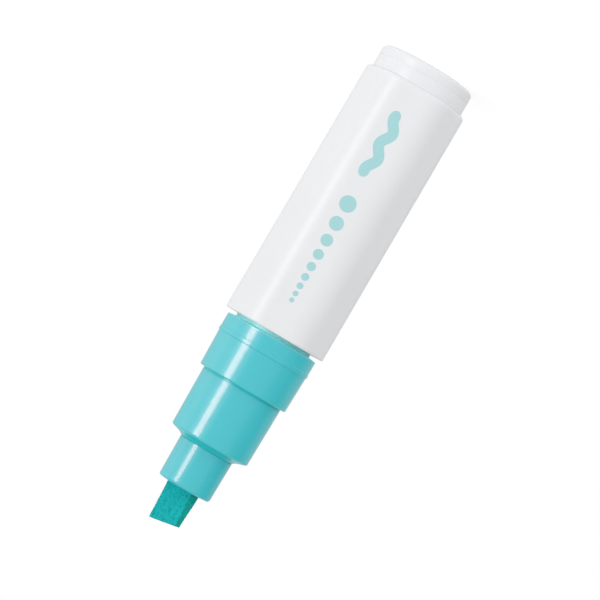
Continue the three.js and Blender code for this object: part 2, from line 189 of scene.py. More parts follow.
# Felt nib
NIB_WIDTH = 8.0
NIB_THICKNESS = 4.0
NIB_TIP_THICKNESS = 2.1
NIB_SKEW = math.radians(10.5)
NIB_EDGE = 0.35
NIB_PITCH = 0.2
NIB_HIDDEN_PITCH = 1.2
NIB_END_STEPS = 7
NIB_TRAVEL = 2.0
FELT_START = HOLDER_FRONT - 1  # behind it the felt is smooth, inside the slot
FELT_COARSE = 0.07
FELT_COARSE_SCALE = (1.7, 1.7, 0.9)
FELT_FINE = 0.035
FELT_FINE_SCALE = (5.1, 5.1, 2.9)
FELT_FINE_SHIFT = (7, 0, 0)
PIT_DEPTH = 2.2 * FELT_COARSE
PIT_LEVEL = 0.28
PIT_SCALE = (2.9, 2.9, 1.3)
PIT_SHIFT = (0, 31, 0)
NARROW_MARGIN = 0.2  # of the narrow sides' finish, inside the nib's width
FRAY = 0.3
FRAY_SCALE = 1.6

# Loose fibres of the nib
FIBRE_COUNT = 900
FIBRE_SEED = 4
FIBRE_RADIUS = 0.016
FIBRE_TAPER = 0.6
FIBRE_SIDES = 3
FIBRE_STEPS = 5
FIBRE_ROOM = (0.3, 0.2)  # clear of the holder and of the tip
FIBRE_TURN = 0.8
FIBRE_LENGTH = (0.5, 1.5)
FIBRE_CURL = 0.5
FIBRE_LIFT = (0.02, 0.16)
FIBRE_LIFT_SHARE = (0.6, 1.0)
FIBRE_HEIGHT = 0.01
FIBRE_CALM = 0.2  # share of turn, curl and lift where the slot takes the fibres
FIBRE_CALM_LENGTH = NIB_TRAVEL + 0.8

# Valve spring
WIRE_RADIUS = 0.3
SPRING_MEAN_RADIUS = 2.2
SPRING_TURNS = 5

# Printed marks on the flat that faces -Y
INK_SINK = 0.02
INK_HEIGHT = 0.012
DOT_COUNT = 9
DOT_FIRST = 65.8
DOT_SMALLEST = 0.6
DOT_GROWTH = 1.17
DOT_GAP = 0.72
DOT_TRIM = 0.01  # share of the half turn left off at each end
STROKE_START = 14.0
STROKE_END = 31.5
STROKE_WAVES = 2.5
STROKE_SWING = 0.8
STROKE_HALF_WIDTH = 1.35
STROKE_STEPS = 160
STROKE_LEAST = 0.02

# How finely the pieces are meshed
ROUND_STEPS = 192
CORNER_STEPS = 26
FLAT_SHARES = (-0.96, -0.5, 0.0, 0.5, 0.96)
FILLET_STEPS = 8
COIL_STEPS = 36
WIRE_STEPS = 16
BALL_STEPS = 48
DOT_STEPS = 40
SUPPORT = 0.12  # from the end of a long run to its extra point
LONG_RUN = 4 * SUPPORT
TINY = 1e-9
SHARP_ANGLE = math.radians(32)


def arc(radius, z, fillet, start, end, steps=FILLET_STEPS):
    """Points of an outline along a fillet about [radius, z], between two angles in degrees."""
    points = []
    for i in range(steps + 1):
        angle = math.radians(start + (end - start) * i / steps)
        points.append((radius + fillet * math.cos(angle), z + fillet * math.sin(angle)))
    return points


def supported(outline, closed=True):
    """The outline with a point near each end of its long runs, which keeps their shading even."""
    points = []
    ends = outline[1:] + outline[:1] if closed else outline[1:]
    for (r0, z0), (r1, z1) in zip(outline, ends):
        points.append((r0, z0))
        length = math.hypot(r1 - r0, z1 - z0)
        if length > LONG_RUN:
            for share in (SUPPORT / length, 1 - SUPPORT / length):
                points.append((r0 + (r1 - r0) * share, z0 + (z1 - z0) * share))
    if not closed:
        points.append(outline[-1])
    return points


def ring(radius, z, angles):
    return [(radius * math.cos(a), radius * math.sin(a), z) for a in angles]


def even_angles(count=ROUND_STEPS):
    return [2 * math.pi * i / count for i in range(count)]


def make_object(name, points, faces):
    """A mesh object from points in millimetres, smooth but for its sharp edges."""
    mesh = bpy.data.meshes.new(name)
    mesh.from_pydata([tuple(c * MM for c in p) for p in points], [], faces)
    shape = bmesh.new()
    shape.from_mesh(mesh)
    bmesh.ops.recalc_face_normals(shape, faces=shape.faces)
    for face in shape.faces:
        face.smooth = True
    for edge in shape.edges:
        edge.smooth = edge.calc_face_angle(0) < SHARP_ANGLE
    shape.to_mesh(mesh)
    shape.free()
    piece = bpy.data.objects.new(name, mesh)
    bpy.context.scene.collection.objects.link(piece)
    return piece


def skin(name, rings, closed=False):
    """Joins rings of as many points each, and the last to the first or else fills the ends."""
    count = len(rings[0])
    points = [p for r in rings for p in r]
    faces = []
    for r in range(len(rings) if closed else len(rings) - 1):
        here, there = r * count, (r + 1) % len(rings) * count
        for i in range(count):
            j = (i + 1) % count
            faces.append((here + i, here + j, there + j, there + i))
    if not closed:
        for first in (0, (len(rings) - 1) * count):
            middle = [sum(points[first + i][k] for i in range(count)) / count for k in range(3)]
            points.append(middle)
            for i in range(count):
                faces.append((first + i, first + (i + 1) % count, len(points) - 1))
    return make_object(name, points, faces)


def turned(name, outline, closed=True):
    """A piece of revolution about Z. An open outline runs from near the axis to near the axis."""
    rings = [ring(r, z, even_angles()) for r, z in supported(outline, closed)]
    return skin(name, rings, closed)


def dress(piece, body, slot, material, *nodes):
    """Gives a piece its material and body, and the frame's nodes that it replaces. Its slot is not
    used.
    """
    piece.data.materials.append(material)
    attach(piece, body)
    if nodes:
        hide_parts(*nodes)
    return piece


def recoat(piece, material, chosen):
    """Another material on the faces whose middle, in millimetres, passes a test."""
    piece.data.materials.append(material)
    for face in piece.data.polygons:
        if chosen(face.center / MM):
            face.material_index = len(piece.data.materials) - 1


def between(rear, front, inner, outer):
    """A test for points between two stations and between two radii."""
    return lambda point: rear < point.z < front and inner < point.xy.length < outer


# Barrel and tail plug


def hexagon(apothem, corner, z, least=0.0):
    """A hexagon with rounded corners, from the corner on +X, pushed out to a least radius."""
    reach = (apothem - corner) / math.cos(math.pi / 6)
    half = (apothem - corner) * math.tan(math.pi / 6)
    points = []
    for side in range(6):
        middle = side * math.pi / 3
        for i in range(CORNER_STEPS + 1):
            angle = middle - math.pi / 6 + math.pi / 3 * i / CORNER_STEPS
            x = reach * math.cos(middle) + corner * math.cos(angle)
            y = reach * math.sin(middle) + corner * math.sin(angle)
            points.append((x, y))
        flat = middle + math.pi / 6
        for share in FLAT_SHARES:
            x = apothem * math.cos(flat) - share * half * math.sin(flat)
            y = apothem * math.sin(flat) + share * half * math.cos(flat)
            points.append((x, y))
    scales = [max(1.0, least / math.hypot(x, y)) for x, y in points]
    return [(x * s, y * s, z) for (x, y), s in zip(points, scales)]


def barrel():
    angles = [math.atan2(y, x) for x, y, _ in hexagon(BARREL_APOTHEM, CORNER_RADIUS, 0)]
    rings = [
        ring(RESERVOIR_RADIUS, BARREL_REAR, angles),
        ring(STUD_RADIUS - SEAM_DEPTH, BARREL_REAR, angles),
    ]
    seam = (STUD_RADIUS - SEAM_DEPTH, BARREL_REAR + SEAM_DEPTH, SEAM_DEPTH)
    for r, z in arc(*seam, 270, 360, SEAM_STEPS):
        rings.append(ring(r, z, angles))
    rings.append(ring(STUD_RADIUS, SHOULDER - SUPPORT, angles))
    rings.append(ring(STUD_RADIUS, SHOULDER, angles))
    for inset, z in arc(0, SHOULDER + TAIL_FILLET, TAIL_FILLET, 270, 360, 2 * FILLET_STEPS):
        depth = TAIL_FILLET - inset
        rings.append(hexagon(BARREL_APOTHEM - depth, CORNER_RADIUS - depth, z, STUD_RADIUS))
    rings.append(hexagon(BARREL_APOTHEM, CORNER_RADIUS, SHOULDER + TAIL_FILLET + SUPPORT))
    rings.append(hexagon(BARREL_APOTHEM, CORNER_RADIUS, BARREL_MOUTH - MOUTH_FILLET - SUPPORT))
    for inset, z in arc(0, BARREL_MOUTH - MOUTH_FILLET, MOUTH_FILLET, 0, 90):
        depth = MOUTH_FILLET - inset
        rings.append(hexagon(BARREL_APOTHEM - depth, CORNER_RADIUS - depth, z))
    rings.append(ring(MOUTH_BORE + MOUTH_CHAMFER, BARREL_MOUTH, angles))
    rings.append(ring(MOUTH_BORE, BARREL_MOUTH - MOUTH_CHAMFER, angles))
    rings.append(ring(MOUTH_BORE, MOUTH_STEP, angles))
    rings.append(ring(RESERVOIR_RADIUS, MOUTH_STEP, angles))
    return skin("barrel_shell", rings, closed=True)


def tail_plug():
    rear = BARREL_REAR - PLUG_GAP
    outline = [
        (AXIS_RADIUS, 0),
        *arc(STUD_RADIUS - PLUG_FILLET, PLUG_FILLET, PLUG_FILLET, 270, 360, 2 * FILLET_STEPS),
        *arc(STUD_RADIUS - SEAM_DEPTH, rear - SEAM_DEPTH, SEAM_DEPTH, 0, 90, SEAM_STEPS),
        (PLUG_SPIGOT_RADIUS, rear),
        (PLUG_SPIGOT_RADIUS, PLUG_FRONT),
        (PLUG_SPIGOT_RADIUS - PLUG_WALL, PLUG_FRONT),
        (PLUG_SPIGOT_RADIUS - PLUG_WALL, PLUG_FLOOR),
        (AXIS_RADIUS, PLUG_FLOOR),
    ]
    return turned("tail_cap", outline, closed=False)


# Front section


def bead(z):
    """The low ridge round the collar, from the collar's rear radius to its middle one."""
    top = COLLAR_REAR_RADIUS + BEAD_HEIGHT
    points = []
    for (start, end), low, high in (
        (BEAD_RISE, COLLAR_REAR_RADIUS, top),
        (BEAD_FALL, top, COLLAR_MID_RADIUS),
    ):
        for i in range(BEAD_STEPS + 1):
            share = i / BEAD_STEPS
            ease = share * share * (3 - 2 * share)
            points.append((low + (high - low) * ease, z + start + (end - start) * share))
    return points


def front_section():
    outline = [
        (SPIGOT_BORE, SPIGOT_REAR),
        (SPIGOT_RADIUS, SPIGOT_REAR),
        (SPIGOT_RADIUS, GAP_REAR),
        (SPIGOT_RADIUS, COLLAR_REAR - LIP_LENGTH),
        (SPIGOT_RADIUS + LIP_WIDTH, COLLAR_REAR - LIP_LENGTH),
        *arc(
            COLLAR_REAR_RADIUS - COLLAR_REAR_FILLET,
            COLLAR_REAR + COLLAR_REAR_FILLET,
            COLLAR_REAR_FILLET,
            270,
            360,
        ),
        *bead(COLLAR_REAR + BEAD_OFFSET),
        *arc(
            COLLAR_FRONT_RADIUS - COLLAR_FRONT_FILLET,
            COLLAR_FRONT - COLLAR_FRONT_FILLET,
            COLLAR_FRONT_FILLET,
            0,
            90,
        ),
        (NECK_REAR_RADIUS - NECK_GROOVE_DEPTH, COLLAR_FRONT),
        (NECK_REAR_RADIUS - NECK_GROOVE_DEPTH, COLLAR_FRONT + NECK_GROOVE_LENGTH),
        (NECK_REAR_RADIUS, COLLAR_FRONT + NECK_GROOVE_LENGTH + NECK_GROOVE_DEPTH / 2),
        *arc(
            NECK_FRONT_RADIUS - NECK_FILLET,
            NECK_CORNER - NECK_FILLET,
            NECK_FILLET,
            0,
            NECK_FILLET_END,
        ),
        *[(r, NECK_FACE + offset) for r, offset in NECK_CONE],
        (NECK_CONE[-1][0], NECK_FACE),
        (SLEEVE_BORE, NECK_FACE),
        (SLEEVE_BORE, SLEEVE_REAR + SLEEVE_LIP),
        (HOLDER_BORE, SLEEVE_REAR + SLEEVE_LIP),
        (HOLDER_BORE, SLEEVE_REAR),
        (SLEEVE_RADIUS, SLEEVE_REAR),
        (SLEEVE_RADIUS, NECK_WALL_END),
        (NECK_BORE, NECK_WALL_END),
        (NECK_BORE, NECK_BORE_REAR),
        (SPIGOT_BORE, NECK_BORE_REAR),
    ]
    return turned("front_shell", outline)


# Nib holder


def slot_reach(angle):
    """How far the slot with its air vents reaches from the axis in one direction."""
    c, s = abs(math.cos(angle)), abs(math.sin(angle))
    half_width, half_thickness = SLOT_WIDTH / 2, SLOT_THICKNESS / 2
    reach = min(half_width / max(c, TINY), half_thickness / max(s, TINY))
    corner_x, corner_y = half_width - SLOT_CORNER, half_thickness - SLOT_CORNER
    if reach * c > corner_x and reach * s > corner_y:
        reach = circle_reach(c, s, corner_x, corner_y, SLOT_CORNER) or reach
    vent = circle_reach(c, s, VENT_OFFSET, half_thickness, VENT_RADIUS)
    return max(reach, vent)


def circle_reach(c, s, x, y, radius):
    """Where the ray along [c, s] leaves a circle about [x, y], or 0 where it misses."""
    along = c * x + s * y
    room = radius * radius - (x * x + y * y - along * along)
    return along + math.sqrt(room) if room >= 0 else 0.0


def slot_angles():
    """Even angles, with more where the slot's outline bends."""
    angles = set(even_angles(SLOT_STEPS))
    half_width, half_thickness = SLOT_WIDTH / 2, SLOT_THICKNESS / 2
    spots = [(half_width - SLOT_CORNER, half_thickness - SLOT_CORNER, SLOT_CORNER)]
    spots.append((VENT_OFFSET, half_thickness, VENT_RADIUS))
    for x, y, radius in spots:
        for i in range(SLOT_CORNER_STEPS + 1):
            turn = math.pi * i / SLOT_CORNER_STEPS
            angle = math.atan2(y + radius * math.sin(turn), x + radius * math.cos(turn))
            angles |= {angle % (2 * math.pi), math.pi - angle}
            angles |= {math.pi + angle, (-angle) % (2 * math.pi)}
    ordered = sorted(angles)
    following = ordered[1:] + [ordered[0] + 2 * math.pi]
    return [a for a, b in zip(ordered, following) if b - a > SLOT_LEAST_STEP]


def nib_holder():
    angles = slot_angles()
    front = HOLDER_RADIUS - HOLDER_TAPER
    outline = [
        (HOLDER_BORE, SLOT_REAR),
        (HOLDER_BORE, HOLDER_SPIGOT_REAR),
        (HOLDER_SPIGOT_RADIUS, HOLDER_SPIGOT_REAR),
        (HOLDER_SPIGOT_RADIUS, HOLDER_SEAT),
        (HOLDER_RADIUS - HOLDER_GROOVE_DEPTH, HOLDER_SEAT),
        (HOLDER_RADIUS - HOLDER_GROOVE_DEPTH, HOLDER_REAR),
        *arc(
            HOLDER_RADIUS - HOLDER_REAR_FILLET,
            HOLDER_REAR + HOLDER_REAR_FILLET,
            HOLDER_REAR_FILLET,
            270,
            360,
        ),
        *arc(
            front - HOLDER_FRONT_FILLET,
            HOLDER_FRONT - HOLDER_FRONT_FILLET,
            HOLDER_FRONT_FILLET,
            0,
            90,
            HOLDER_FRONT_STEPS,
        ),
        (front - HOLDER_FRONT_FILLET - SUPPORT, HOLDER_FRONT),
    ]
    turned_angles = [a + MOUTH_TURN for a in angles]
    rings = [ring(r, z, turned_angles) for r, z in supported(outline, closed=False)]
    for z in (HOLDER_FRONT, SLOT_REAR):
        slot = []
        for a, b in zip(angles, turned_angles):
            reach = slot_reach(a)
            slot.append((reach * math.cos(b), reach * math.sin(b), z))
        rings.append(slot)
    return skin("nib_mouth", rings, closed=True)


# Felt nib


def rounded_rectangle(width, thickness, radius):
    """Evenly spaced points round a rectangle with rounded corners."""
    straight_x, straight_y = width - 2 * radius, thickness - 2 * radius
    quarter = math.pi * radius / 2
    total = 2 * (straight_x + straight_y) + 4 * quarter
    count = round(2 * (NIB_WIDTH + NIB_THICKNESS) / NIB_PITCH)
    runs = [(straight_y, 0), (straight_x, 90), (straight_y, 180), (straight_x, 270)]
    points = []
    for i in range(count):
        left = total * i / count
        for run, heading in runs:
            turn = math.radians(heading)
            side = (width if heading % 180 == 0 else thickness) / 2
            if left <= run:
                x, y = side, left - run / 2
                break
            left -= run
            if left <= quarter:
                angle = left / radius
                x = side - radius + radius * math.cos(angle)
                y = run / 2 + radius * math.sin(angle)
                break
            left -= quarter
        c, s = math.cos(turn), math.sin(turn)
        points.append((x * c - y * s, x * s + y * c))
    return points


def nib_thickness(z, tip):
    share = max(0.0, (z - HOLDER_FRONT) / (tip - HOLDER_FRONT))
    return NIB_THICKNESS + (NIB_TIP_THICKNESS - NIB_THICKNESS) * share


def grain(point, scale, shift=(0, 0, 0)):
    return noise.noise(Vector([c * s + d for c, s, d in zip(point, scale, shift)]))


def felt_offset(point):
    """How far the felt's surface stands in or out at a point, in millimetres."""
    coarse = grain(point, FELT_COARSE_SCALE)
    fine = grain(point, FELT_FINE_SCALE, FELT_FINE_SHIFT)
    pit = grain(point, PIT_SCALE, PIT_SHIFT)
    return FELT_COARSE * coarse + FELT_FINE * fine - PIT_DEPTH * max(0.0, pit - PIT_LEVEL)


def nib():
    slope = math.tan(NIB_SKEW)
    tip = NIB_TIP - NIB_WIDTH / 2 * slope
    hidden, shown = FELT_START - NIB_REAR, tip - FELT_START
    count = math.ceil(hidden / NIB_HIDDEN_PITCH)
    stations = [NIB_REAR + hidden * i / count for i in range(count)]
    count = math.ceil(shown / NIB_PITCH)
    stations += [FELT_START + shown * i / count for i in range(count + 1)]
    rings = []
    for z in stations:
        outline = rounded_rectangle(NIB_WIDTH, nib_thickness(z, tip), NIB_EDGE)
        lean = slope * max(0.0, (z - HOLDER_FRONT) / (tip - HOLDER_FRONT))
        rings.append([(x, y, z + x * lean) for x, y in outline])
    edge = rounded_rectangle(NIB_WIDTH, NIB_TIP_THICKNESS, NIB_EDGE)
    for i in range(1, NIB_END_STEPS):
        inset = NIB_TIP_THICKNESS / 2 * i / NIB_END_STEPS
        sx = (NIB_WIDTH / 2 - inset) / (NIB_WIDTH / 2)
        sy = (NIB_TIP_THICKNESS / 2 - inset) / (NIB_TIP_THICKNESS / 2)
        rings.append([(x * sx, y * sy, tip + x * sx * slope) for x, y in edge])
    piece = skin("felt_nib", rings)
    mesh = piece.data
    mesh.update()
    moves = [v.normal * felt_offset(v.co / MM) * MM for v in mesh.vertices]
    for vertex, move in zip(mesh.vertices, moves):
        if vertex.co.z / MM > FELT_START:
            vertex.co += move
    for edge in mesh.edges:
        edge.use_edge_sharp = False
    piece.data.transform(Matrix.Rotation(MOUTH_TURN, 4, "Z"))
    return piece


def on_narrow_side(point):
    """Whether a point lies on one of the nib's two narrow sides, whose edges are frayed."""
    across = point.x * math.cos(MOUTH_TURN) + point.y * math.sin(MOUTH_TURN)
    return abs(across) > NIB_WIDTH / 2 - NARROW_MARGIN - FRAY * noise.noise(point * FRAY_SCALE)


def nib_fibres():
    """Loose ends of fibre along the felt with lifted tips, calmer where the slot takes them."""
    draw = random.Random(FIBRE_SEED)
    slope = math.tan(NIB_SKEW)
    tip = NIB_TIP - NIB_WIDTH / 2 * slope
    points, faces = [], []
    for _ in range(FIBRE_COUNT):
        z = draw.uniform(HOLDER_FRONT + FIBRE_ROOM[0], tip - FIBRE_ROOM[1])
        outline = rounded_rectangle(NIB_WIDTH, nib_thickness(z, tip), NIB_EDGE)
        i = draw.randrange(len(outline))
        x, y = outline[i]
        following = outline[(i + 1) % len(outline)]
        side = Vector((following[0] - x, following[1] - y, 0)).normalized()
        out = Vector((side.y, -side.x, 0))
        calm = FIBRE_CALM if z < HOLDER_FRONT + FIBRE_CALM_LENGTH else 1.0
        turn = draw.gauss(0, FIBRE_TURN) * calm
        heading = side * math.sin(turn) + Vector((0, 0, 1)) * math.cos(turn)
        length = draw.uniform(*FIBRE_LENGTH)
        curl = draw.uniform(-FIBRE_CURL, FIBRE_CURL) * calm
        lift = draw.uniform(*FIBRE_LIFT) * calm
        lean = slope * (z - HOLDER_FRONT) / (tip - HOLDER_FRONT)
        start = Vector((x, y, z + x * lean))
        base = len(points)
        for k in range(FIBRE_STEPS + 1):
            share = k / FIBRE_STEPS
            sideways = side * (curl * length * share * share)
            centre = start + heading * (length * (share - 0.5)) + sideways
            lifted = lift * (2 * share - 1) ** 2 * draw.uniform(*FIBRE_LIFT_SHARE)
            centre += out * (FIBRE_HEIGHT + lifted)
            centre.z = min(centre.z, tip + centre.x * slope)
            radius = FIBRE_RADIUS * (1 - FIBRE_TAPER * share)
            across = out.cross(heading).normalized()
            for corner in range(FIBRE_SIDES):
                angle = 2 * math.pi * corner / FIBRE_SIDES
                spoke = out * math.cos(angle) + across * math.sin(angle)
                points.append(tuple(centre + spoke * radius))
        for k in range(FIBRE_STEPS):
            for corner in range(FIBRE_SIDES):
                a = base + FIBRE_SIDES * k + corner
                b = base + FIBRE_SIDES * k + (corner + 1) % FIBRE_SIDES
                faces.append((a, b, b + FIBRE_SIDES, a + FIBRE_SIDES))
        end = base + FIBRE_SIDES * FIBRE_STEPS
        faces.append(tuple(reversed(range(base, base + FIBRE_SIDES))))
        faces.append(tuple(range(end, end + FIBRE_SIDES)))
    piece = make_object("nib_fibres", points, faces)
    piece.data.transform(Matrix.Rotation(MOUTH_TURN, 4, "Z"))
    return piece


# Valve spring and mixing balls


def valve_spring():
    """A round-wired coil between the valve disc and the cage's floor."""
    rings = []
    steps = SPRING_TURNS * COIL_STEPS
    rear, front = SPRING_REAR + WIRE_RADIUS, SPRING_FRONT - WIRE_RADIUS
    for i in range(steps + 1):
        share = i / steps
        angle = 2 * math.pi * SPRING_TURNS * share
        out = Vector((math.cos(angle), math.sin(angle), 0))
        centre = out * SPRING_MEAN_RADIUS + Vector((0, 0, rear + (front - rear) * share))
        loop = []
        for k in range(WIRE_STEPS):
            turn = 2 * math.pi * k / WIRE_STEPS
            rise = Vector((0, 0, WIRE_RADIUS * math.sin(turn)))
            loop.append(tuple(centre + out * WIRE_RADIUS * math.cos(turn) + rise))
        rings.append(loop)
    return skin("valve_coil", rings)


def mixing_ball(node):
    low, high = lowest(node), highest(node)
    middle, radius = (low + high) / 2, (high.z - low.z) / 2
    outline = []
    for i in range(1, BALL_STEPS):
        angle = math.pi * i / BALL_STEPS
        outline.append((radius * math.sin(angle), middle.z - radius * math.cos(angle)))
    rings = [
        [(x + middle.x, y + middle.y, z) for x, y, z in ring(r, z, even_angles(2 * BALL_STEPS))]
        for r, z in outline
    ]
    return skin("fine_" + node, rings)


# Printed marks: a row of dots that grow towards the tail, and one broad wavy stroke


def ink_slab(points, faces, left, right):
    """Adds a slab of ink between two lines of [across, along] points, which meet at both ends."""
    top, bottom = -BARREL_APOTHEM - INK_HEIGHT, -BARREL_APOTHEM + INK_SINK
    base = len(points)
    for (x0, z0), (x1, z1) in zip(left, right):
        points.extend([(x0, bottom, z0), (x0, top, z0), (x1, top, z1), (x1, bottom, z1)])
    for i in range(len(left) - 1):
        here, there = base + 4 * i, base + 4 * (i + 1)
        for k in range(4):
            n = (k + 1) % 4
            faces.append((here + k, here + n, there + n, there + k))
    end = base + 4 * (len(left) - 1)
    faces.append((base, base + 1, base + 2, base + 3))
    faces.append((end + 3, end + 2, end + 1, end))


def dot(points, faces, z, radius):
    left, right = [], []
    for i in range(DOT_STEPS + 1):
        angle = math.pi * (DOT_TRIM + (1 - 2 * DOT_TRIM) * i / DOT_STEPS)
        half = radius * math.sin(angle)
        along = z - radius * math.cos(angle)
        left.append((-half, along))
        right.append((half, along))
    ink_slab(points, faces, left, right)


def print_dots():
    points, faces = [], []
    z, radius = DOT_FIRST, DOT_SMALLEST
    for _ in range(DOT_COUNT):
        dot(points, faces, z, radius)
        following = radius * DOT_GROWTH
        z -= radius + following + DOT_GAP * following
        radius = following
    return make_object("print_dots", points, faces)


def print_stroke():
    """A wave of even width with round ends."""
    left, right = [], []
    length = STROKE_END - STROKE_START
    pace = 2 * math.pi * STROKE_WAVES / length
    for i in range(STROKE_STEPS + 1):
        along = length * (1 - math.cos(math.pi * i / STROKE_STEPS)) / 2
        across = STROKE_SWING * math.sin(pace * along)
        slope = STROKE_SWING * pace * math.cos(pace * along)
        stretch = math.hypot(1, slope)
        near_end = max(0.0, 1 - min(along, length - along) * stretch / STROKE_HALF_WIDTH)
        half = max(STROKE_LEAST, STROKE_HALF_WIDTH * math.sqrt(1 - near_end * near_end)) / stretch
        left.append((across - half, STROKE_START + along + half * slope))
        right.append((across + half, STROKE_START + along - half * slope))
    points, faces = [], []
    ink_slab(points, faces, left, right)
    return make_object("print_stroke", points, faces)


# Materials

# Sockets of a Mix node by number, because their names repeat
MIX_SHARE = 0
MIX_FIRST = 2
MIX_SECOND = 3
MIX_FIRST_COLOR = 6
MIX_SECOND_COLOR = 7
MIX_RESULT_COLOR = 2  # among the outputs


class Nodes:
    """A short way to write a node tree."""

    def __init__(self, name):
        self.material = bpy.data.materials.new(name)
        self.material.use_nodes = True
        self.tree = self.material.node_tree
        self.shader = self.tree.nodes["Principled BSDF"]

    def add(self, kind):
        return self.tree.nodes.new("ShaderNode" + kind)

    def link(self, source, target):
        self.tree.links.new(source, target)

    def place(self, scale):
        """Object coordinates in millimetres, stretched by a scale for each axis."""
        mapping = self.add("Mapping")
        mapping.inputs["Scale"].default_value = [s / MM for s in scale]
        self.link(self.add("TexCoord").outputs["Object"], mapping.inputs["Vector"])
        return mapping.outputs["Vector"]

    def noise(self, scale, detail, roughness=0.5, distortion=0.0):
        node = self.add("TexNoise")
        node.inputs["Scale"].default_value = 1.0
        node.inputs["Detail"].default_value = detail
        node.inputs["Roughness"].default_value = roughness
        node.inputs["Distortion"].default_value = distortion
        self.link(self.place(scale), node.inputs["Vector"])
        return node.outputs["Fac"]

    def spread(self, value, low, high, start=0.3, end=0.7):
        """The value between start and end, spread evenly between low and high."""
        node = self.add("MapRange")
        node.inputs["From Min"].default_value = start
        node.inputs["From Max"].default_value = end
        node.inputs["To Min"].default_value = low
        node.inputs["To Max"].default_value = high
        self.link(value, node.inputs["Value"])
        return node.outputs["Result"]

    def blend(self, share, first, second):
        """A colour between two, each of them a colour or a socket."""
        node = self.add("Mix")
        node.data_type = "RGBA"
        for index, value in ((MIX_FIRST_COLOR, first), (MIX_SECOND_COLOR, second)):
            if isinstance(value, tuple):
                node.inputs[index].default_value = (*value, 1)
            else:
                self.link(value, node.inputs[index])
        self.link(share, node.inputs[MIX_SHARE])
        return node.outputs[MIX_RESULT_COLOR]

    def bump(self, height, strength, distance, under=None):
        """A normal bumped by a height, over the one under it. The distance is in millimetres."""
        node = self.add("Bump")
        node.inputs["Strength"].default_value = strength
        node.inputs["Distance"].default_value = distance * MM
        self.link(height, node.inputs["Height"])
        if under:
            self.link(under, node.inputs["Normal"])
        return node.outputs["Normal"]

    def finish(self, **inputs):
        """Sets the shader's inputs from numbers, colours and sockets."""
        names = {"color": "Base Color", "level": "Specular IOR Level", "tint": "Specular Tint"}
        for key, value in inputs.items():
            socket = self.shader.inputs[names.get(key, key.replace("_", " ").title())]
            if isinstance(value, bpy.types.NodeSocket):
                self.link(value, socket)
            else:
                socket.default_value = (*value, 1) if isinstance(value, tuple) else value
        return self.material


def moulded(name, color, shade, roughness, level, tint=(1, 1, 1)):
    """Moulded plastic: near-even colour, a faint ripple, and fine scuffs that dull the gloss."""
    made = Nodes(name)
    cloud = made.noise((0.09, 0.09, 0.05), detail=2)
    scuff = made.noise((1.6, 1.6, 0.5), detail=4, roughness=0.6)
    ripple = made.noise((0.35, 0.35, 0.12), detail=2)
    pores = made.noise((9, 9, 9), detail=2)
    tone = made.blend(made.spread(cloud, 0, 1), color, shade)
    low, high = roughness
    gloss = made.spread(scuff, low, high)
    normal = made.bump(ripple, strength=0.05, distance=0.012)
    normal = made.bump(pores, strength=0.08, distance=0.003, under=normal)
    return made.finish(color=tone, roughness=gloss, level=level, tint=tint, normal=normal)


def felt(name, low, high, strand, fleck):
    """Felt soaked with paint: clouded, with darker strands and a few dark flecks."""
    made = Nodes(name)
    cloud = made.noise((0.5, 0.5, 0.3), detail=3)
    strands = made.noise((3.8, 3.8, 1.7), detail=4, roughness=0.6, distortion=1.2)
    flecks = made.noise((2.4, 2.4, 1.2), detail=3, roughness=0.55, distortion=0.8)
    base = made.blend(made.spread(cloud, 0, 1), low, high)
    base = made.blend(made.spread(strands, 0, 0.75), base, strand)
    base = made.blend(made.spread(flecks, 0, 0.75, start=0.56, end=0.68), base, fleck)
    gloss = made.spread(strands, 0.8, 1.0)
    normal = made.bump(strands, strength=0.6, distance=0.12)
    return made.finish(color=base, roughness=gloss, level=0.1, normal=normal)


def fibre(name, low, high):
    made = Nodes(name)
    cloud = made.noise((1.2, 1.2, 1.2), detail=2)
    tone = made.blend(made.spread(cloud, 0, 1), low, high)
    return made.finish(color=tone, roughness=0.8, level=0.1)


def ink_material():
    made = Nodes("print_ink")
    speck = made.noise((6, 6, 6), detail=3)
    tone = made.blend(made.spread(speck, 0, 1), (0.35, 0.64, 0.66), (0.39, 0.68, 0.70))
    return made.finish(color=tone, roughness=made.spread(speck, 0.3, 0.42), level=0.4)


def rubber_material():
    made = Nodes("seal_rubber")
    speck = made.noise((3, 3, 3), detail=4, roughness=0.6)
    tone = made.blend(made.spread(speck, 0, 1), (0.020, 0.021, 0.024), (0.034, 0.035, 0.038))
    gloss = made.spread(speck, 0.6, 0.8)
    normal = made.bump(speck, strength=0.3, distance=0.02)
    return made.finish(color=tone, roughness=gloss, level=0.4, normal=normal)


def steel_material():
    made = Nodes("bright_steel")
    drawn = made.noise((14, 14, 3), detail=3)
    tone = made.blend(made.spread(drawn, 0, 1), (0.56, 0.58, 0.60), (0.66, 0.67, 0.68))
    gloss = made.spread(drawn, 0.16, 0.3)
    normal = made.bump(drawn, strength=0.1, distance=0.004)
    return made.finish(color=tone, metallic=1.0, roughness=gloss, normal=normal)


# The marker


